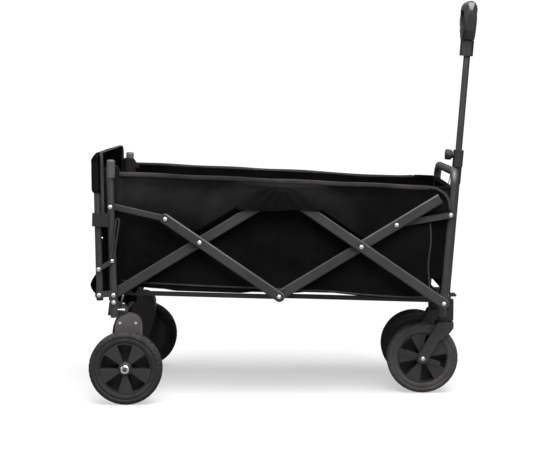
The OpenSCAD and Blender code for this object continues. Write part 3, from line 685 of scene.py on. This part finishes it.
# ---------------------------------------------------------------- flaps over the scissor's crown
def crown_flap(s, side):
    """Cloth over the scissor's crown, from the rim to just below the bars' tips."""
    def shape(u, v):
        x = mix(-0.262, 0.240, u)
        ridge = TOP_PIVOT_Z + 0.0195 - BAR_TAN * math.sqrt((x + 0.008) ** 2 + 0.00018)
        hem = 0.5270 + 0.027 * x + 0.0012 * math.sin(40 * x)
        beyond = max(-0.118 - x, x - 0.1045, 0)
        foot = mix(hem, ridge - 0.004, ease(beyond / 0.012))
        z = mix(foot, rim_z(x, s) - 0.004, v ** 1.15)
        above = max(0, (z - ridge) * BAR_COS) / 0.085
        over = (1 - ease(above)) * (1 - 0.62 * ease(beyond / 0.010) * ease((ridge + 0.012 - z) / 0.010))
        over *= ease(min(u, 1 - u) / 0.12)
        face = mix(0.2378, 0.2494, ease((x + 0.075) / 0.05)) + 0.0018 * math.exp(
            -(x * x + (z - TOP_PIVOT_Z) ** 2) / 0.012 ** 2)
        skin = wall_skin(x, z, s) - 0.0002
        y = mix(skin, face, over)
        y = mix(y, max(skin, RIM_Y - 0.001), over * ease((z - rim_z(x, s) + 0.0135) / 0.0095))
        fan = pull(x, z, -0.006, 0.600, 0.10) * 1.6 * over * (1 - ease((z - rim_z(x, s) + 0.03) / 0.02))
        return at(x, s * (y + max(fan, -0.0006)), z)

    obj = cloth("crown_flap_" + side, shape, 150, 44, "rear_frame",
                depth=0.001)
    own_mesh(obj)


for s, side in BOTH_SIDES:
    crown_flap(s, side)

# ---------------------------------------------------------------- tailgate
GATE_LEAN = math.radians(2.2)
GATE_UP = RISE * math.cos(GATE_LEAN) - ALONG * math.sin(GATE_LEAN)
GATE_OUT = ALONG * math.cos(GATE_LEAN) + RISE * math.sin(GATE_LEAN)
GATE_FOOT = at(-0.489, 0, 0.284)
GATE_TOP = 0.371


def gate(x, y, z):
    return GATE_FOOT + GATE_OUT * x + SIDE * y + GATE_UP * z


def tailgate_cloth():
    """Rear panel, slack at its lower edge, where it bags out behind the tube."""
    def shape(u, v):
        a = 2 * u - 1
        z = mix(-0.006, 0.290, v)
        low = math.exp(-((z - 0.026) / 0.030) ** 2)
        y = a * mix(0.2285, 0.2400, low)
        slack = (1 - a * a) ** 0.5 * math.sin(math.pi * min(1, v * 1.05)) * 0.005
        bag = low * mix(0.014, 0.023, abs(a) ** 3)
        return gate(-0.001 - bag - slack * (0.6 + noise.noise(Vector((y * 6, z * 6, 1)))), y, z)

    obj = cloth("tailgate_cloth", shape, 90, 54, "tailgate",
                outward=-GATE_OUT)
    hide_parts("tailgate_panel")


tailgate_cloth()


def soft_block(low, high, r, counts, place, rub, trim):
    """Verts and faces of a rounded, slightly creased block. place maps its own axes to the scene."""
    verts, faces, index = [], [], {}
    middle = [(a + b) / 2 for a, b in zip(low, high)]

    def vertex(p):
        key = tuple(round(c, 7) for c in p)
        if key not in index:
            core = Vector([min(max(c, a + r), b - r) for c, a, b in zip(p, low, high)])
            d = Vector(p) - core
            q = core + d.normalized() * r if d.length > 1e-9 else core
            q = trim(q)
            n = (q - Vector(middle)).normalized()
            index[key] = len(verts)
            verts.append(place(q + n * rub(q)))
        return index[key]

    for axis in range(3):
        b, c = (axis + 1) % 3, (axis + 2) % 3
        for end in (0, 1):
            for i in range(counts[b]):
                for j in range(counts[c]):
                    quad = []
                    for di, dj in ((0, 0), (1, 0), (1, 1), (0, 1)):
                        p = [0.0, 0.0, 0.0]
                        p[axis] = (low, high)[end][axis]
                        p[b] = mix(low[b], high[b], (i + di) / counts[b])
                        p[c] = mix(low[c], high[c], (j + dj) / counts[c])
                        quad.append(vertex(p))
                    faces.append(tuple(quad if end else reversed(quad)))
    return verts, faces


def tailgate_cover():
    """Soft cover pulled over the top of the tube."""
    def rub(q):
        return (0.0022 * noise.noise(q * 22) + 0.0012 * noise.noise(q * 60)
                - 0.0016 * math.exp(-((q.z - GATE_TOP + 0.02) / 0.02) ** 2) * abs(math.sin(q.y * 70)))

    def trim(q):
        """Slopes the rear top edge off."""
        over = max(0.0, (q.z - 0.3665) - 1.35 * (q.x + 0.0150))
        return Vector((q.x + 0.42 * over, q.y, q.z - 0.32 * over))

    low, high = (-0.0150, -0.2545, 0.2765), (0.0135, 0.2545, 0.3860)
    block = soft_block(low, high, 0.0100, (10, 110, 34), lambda q: gate(*q), rub, trim)
    obj = piece("tailgate_cover_cloth", *block, CLOTH_GREY, "tailgate", "fabric")
    # The cover's inner faces get painted shade.
    paint_inner_shade(obj, -GATE_OUT)
    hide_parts("tailgate_cover")


tailgate_cover()


def tailgate_tape():
    """Tape round the inner edge of the cover."""
    edge = [gate(0.0150, -0.2500, 0.215)] + [gate(0.0150, -0.2520, z) for z in (0.26, 0.30, 0.34, 0.370)]
    edge += [gate(0.0140, -0.248, 0.3815), gate(0.0130, -0.235, 0.3865)]
    edge += [gate(0.0130, y, 0.3868) for y in (-0.18, -0.06, 0.06, 0.18)]
    edge += [gate(0.0130, 0.235, 0.3865), gate(0.0140, 0.248, 0.3815)]
    edge += [gate(0.0150, 0.2520, z) for z in (0.370, 0.34, 0.30, 0.26)] + [gate(0.0150, 0.2500, 0.215)]

    def face(p):
        d = p - GATE_FOOT
        a, z = d.y, d.dot(GATE_UP)
        return (SIDE * math.copysign(ease((abs(a) - 0.225) / 0.025), a)
                + GATE_UP * ease((z - 0.36) / 0.02) + GATE_OUT * 0.25)

    tape("tailgate_tape", edge, "tailgate", 0.0085, 0.0030, facing=face, steps=5)


tailgate_tape()


def rear_gusset(s, side):
    """Cloth folded in the gap between the tailgate and the rear post, sewn to both."""
    def shape(u, v):
        top = mix(mix(0.606, 0.636, ease(u / 0.42)), rim_z(-0.43, s), ease((u - 0.72) / 0.26))
        z = mix(0.288, top, v)
        x = mix(-0.4905 - 0.038 * (z - 0.284), REAR_X + 0.010, u)
        fold = math.sin(3 * math.pi * u + 0.8 * noise.noise(Vector((v * 5, s, 0))))
        inner = ease((u - 0.2) / 0.3)
        depth = mix(0.010, 0.0042, inner) * math.sin(math.pi * u) * (0.7 + 0.3 * math.sin(5 * v))
        return at(x, s * (mix(0.2240, 0.2122, inner) + fold * depth), z)

    obj = piece("rear_gusset_" + side, *grid(shape, 30, 60), CLOTH, None, "fabric")
    thick(obj, 0.0012)
    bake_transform(obj)


for s, side in BOTH_SIDES:
    rear_gusset(s, side)


def floor_lip():
    """Strip of cloth that joins the floor's rear edge to the foot of the tailgate."""
    def shape(u, v):
        foot = gate(-0.003, 0, -0.001)
        start = at(REAR_X + 0.002, 0, floor_z(REAR_X) + 0.001)
        return start.lerp(foot, u) + SIDE * mix(-0.2115, 0.2115, v) - RISE * (0.004 * math.sin(math.pi * u))

    obj = cloth("floor_lip", shape, 10, 40, None)
    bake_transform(obj)


floor_lip()


# ---------------------------------------------------------------- small hardware at the rear
def turned(name, centre, profile, body, material, slot, steps=28):
    """Small turned piece on the Y axis from a profile of (radius, offset)."""
    obj = piece(name, *revolve(profile, steps, centre), material, body, slot, False)
    modifier(obj, "BEVEL", width=0.0003, segments=2, limit_method="ANGLE", angle_limit=math.radians(30))
    return apply_modifiers(obj)


def domed(out, r, h):
    """Closed profile of a rivet head whose face looks along out."""
    arc = [(r * math.cos(t), out * h * math.sin(t)) for t in np.linspace(0, math.pi / 2 - 0.02, 6)]
    profile = [(0.0002, -out * 0.001), (r, -out * 0.001)] + arc
    return profile if out > 0 else profile[::-1]


def rod(name, a, b, r, body, material, slot, sides=16):
    obj = piece(name, *sweep([a, b], ring_section(r, sides)), material, body, slot)
    modifier(obj, "BEVEL", width=r * 0.2, segments=2, limit_method="ANGLE", angle_limit=math.radians(50))
    return apply_modifiers(obj)


def rear_hardware(s, side):
    """The stay's rivet and pin, the washer under the link's rivet, the crossbar's bolt and its strut."""
    turned("stay_rivet_" + side, at(-0.455, s * 0.2573, 0.378), domed(s, 0.0050, 0.0026), "stays", ZINC,
           "rivet_steel")
    turned("stay_pin_" + side, at(-0.4835, s * 0.2490, 0.440), domed(s, 0.0026, 0.002), "tailgate", ZINC,
           "rivet_steel")
    ring = [(0.0052, 0), (0.0088, 0), (0.0088, s * 0.0006), (0.0052, s * 0.0006)]
    turned("link_washer_" + side, at(-0.3144, s * 0.24655, 0.4952), ring, "bar_b", PLASTIC, "black_plastic")
    rod("crossbar_bolt_" + side, at(-0.442, s * 0.2375, 0.2422), at(-0.420, s * 0.2375, 0.2422), 0.0032,
        "rear_frame", ZINC, "rivet_steel")
    strut = [at(-0.4255, s * 0.2345, 0.284), at(-0.4335, s * 0.2345, 0.252)]
    piece("strut_" + side, *sweep(strut, tape_section(0.006, 0.003), [SIDE * s] * 2), PAINT, "rear_frame",
          "frame_paint")


for s, side in BOTH_SIDES:
    rear_hardware(s, side)


def sill(s, side):
    """Dark cloth tucked between the floor's rear edge and the crossbar."""
    def shape(u, v):
        x = mix(-0.468, -0.392, u)
        z = mix(mix(0.262, 0.258, u), mix(0.300, 0.304, u), v) + 0.003 * math.sin(9 * u + 5 * v)
        y = 0.2075 - 0.006 * math.sin(math.pi * v) * (0.7 + 0.3 * math.sin(12 * u))
        return at(x, s * y, z)

    # The sill wears the near-black cloth that paints shade.
    cloth("sill_" + side, shape, 20, 14, "rear_frame",
          material=SHADE_CLOTH)


for s, side in BOTH_SIDES:
    sill(s, side)


# ---------------------------------------------------------------- grip
def smooth_grip():
    """The grip's moulding, rounded off towards its two sides."""
    source = NODES["handle_grip"]
    obj = bpy.data.objects.new("grip_moulding", source.data.copy())
    bpy.context.scene.collection.objects.link(obj)
    obj.matrix_world = source.matrix_world.copy()
    modifier(obj, "REMESH", mode="VOXEL", voxel_size=0.0016, use_smooth_shade=True)
    apply_modifiers(obj)
    low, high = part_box("handle_grip")
    centre = (low + high) / 2
    foot = sum(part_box("handle_collar"), Vector()) / 2
    stem = (centre - foot).normalized()
    across = SIDE.cross(stem)
    half = (high.y - low.y) / 2
    to_local = obj.matrix_world.to_3x3().inverted()
    for vertex in obj.data.vertices:
        q = obj.matrix_world @ vertex.co - centre
        near_side = min(1.0, abs(q.y) / half)
        squeeze = math.sqrt(1 - 0.96 * near_side ** 2.4) - 1
        rise = max(0.0, q.dot(stem) / half)
        vertex.co += to_local @ (across * q.dot(across) * squeeze - SIDE * q.y * 0.2 * rise ** 2)
    modifier(obj, "SMOOTH", factor=0.6, iterations=14)
    apply_modifiers(obj)
    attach(obj, "handle_top")
    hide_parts("handle_grip")


smooth_grip()


# ---------------------------------------------------------------- floor and light
def white_floor(r=14.0):
    """White ground that only darkens below the wagon: away from it, the camera sees it glow."""
    mesh = bpy.data.meshes.new("floor")
    corners = [(x * r, y * r, -0.0005) for x, y in ((-1, -1), (1, -1), (1, 1), (-1, 1))]
    mesh.from_pydata(corners, [], [(0, 1, 2, 3)])
    floor = bpy.data.objects.new("floor", mesh)
    bpy.context.scene.collection.objects.link(floor)
    n = Nodes("white_floor")
    rays = n.add("ShaderNodeLightPath").outputs["Is Camera Ray"]
    n.set(Base_Color=n.tint(rays, (0.22, 0.22, 0.22), (0.76, 0.76, 0.76)), Roughness=1.0,
          Specular_IOR_Level=0.0)
    away = n.add("ShaderNodeVectorMath", operation="LENGTH")
    n.put(away.inputs[0], n.place)
    glow, both = n.add("ShaderNodeEmission", Strength=1.05), n.add("ShaderNodeMixShader")
    n.put(both.inputs[0], n.math("MULTIPLY", rays, n.ramp(away.outputs["Value"], 0.47, 1, 0.45, 1.3)))
    n.put(both.inputs[1], n.shader.outputs[0])
    n.put(both.inputs[2], glow.outputs[0])
    n.put(n.tree.nodes["Material Output"].inputs[0], both.outputs[0])
    mesh.materials.append(n.material)


def white_sky():
    """White to the camera, dim as a light."""
    world = bpy.data.worlds.new("sky")
    bpy.context.scene.world = world
    world.use_nodes = True
    tree = world.node_tree
    tree.nodes.clear()
    out = tree.nodes.new("ShaderNodeOutputWorld")
    seen, cast, blend = (tree.nodes.new(k) for k in
                         ("ShaderNodeBackground", "ShaderNodeBackground", "ShaderNodeMixShader"))
    for background, strength in ((seen, 1.05), (cast, 0.16)):
        background.inputs[0].default_value = (1, 1, 1, 1)
        background.inputs[1].default_value = strength
    rays = tree.nodes.new("ShaderNodeLightPath")
    tree.links.new(rays.outputs["Is Camera Ray"], blend.inputs[0])
    tree.links.new(cast.outputs[0], blend.inputs[1])
    tree.links.new(seen.outputs[0], blend.inputs[2])
    tree.links.new(blend.outputs[0], out.inputs[0])


def soft_light(name, place, size, power, aim=Vector((0, 0, 0.35))):
    data = bpy.data.lights.new(name, "AREA")
    data.shape = "RECTANGLE"
    data.size, data.size_y = size
    data.energy = power
    light = bpy.data.objects.new(name, data)
    bpy.context.scene.collection.objects.link(light)
    light.location = place
    light.rotation_euler = (aim - Vector(place)).to_track_quat("-Z", "Y").to_euler()


white_floor()
white_sky()
soft_light("top", (0.2, -0.8, 2.9), (3.4, 2.6), 220)
soft_light("front", (0.5, -2.8, 2.7), (2.0, 1.2), 57)
soft_light("left", (-3.0, -1.2, 1.5), (0.7, 1.8), 14)
soft_light("right", (2.3, -2.6, 1.7), (0.30, 2.2), 12)
soft_light("back", (-0.5, 2.4, 3.0), (2.4, 1.4), 14)
bpy.context.scene.view_settings.view_transform = "Standard"
